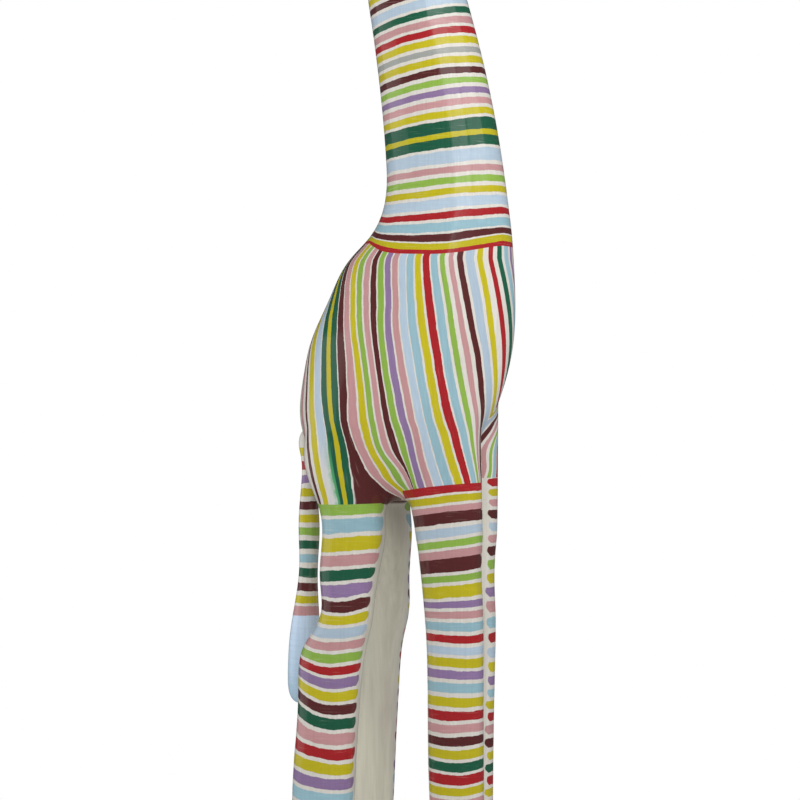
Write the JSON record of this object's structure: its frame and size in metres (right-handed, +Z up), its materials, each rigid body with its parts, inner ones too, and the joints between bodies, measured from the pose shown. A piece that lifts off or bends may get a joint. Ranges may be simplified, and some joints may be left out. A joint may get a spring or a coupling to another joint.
{
  "type": "carved giraffe statue",
  "caption": "Tall free-standing giraffe carved from one log, with a long neck, four slim legs, glued-in ears and horns and a hanging tail, hand-painted in striped bands.",
  "frame": {"origin": "on the floor under the centre of the log, which is the centre of the overall box's bottom face", "axes": "+X forward, the way the animal faces; +Y to the animal's left; +Z up"},
  "size_m": [0.3058, 0.2224, 1.8305],
  "materials": {
    "painted_wood": "hand-painted stripes on an off-white ground, satin",
    "painted_wood_tail": "hand-painted bands and a plain pale blue tuft, satin",
    "painted_wood_ears": "hand-painted, satin",
    "painted_wood_horns": "hand-painted, satin",
    "bare_wood": "bare, glued"
  },
  "bodies": {
    "root": {"carved_body": "painted_wood", "tail": "painted_wood_tail", "tail_dowel": "bare_wood", "left_ear": "painted_wood_ears", "right_ear": "painted_wood_ears", "left_horn": "painted_wood_horns", "right_horn": "painted_wood_horns"}
  },
  "joints": []
}
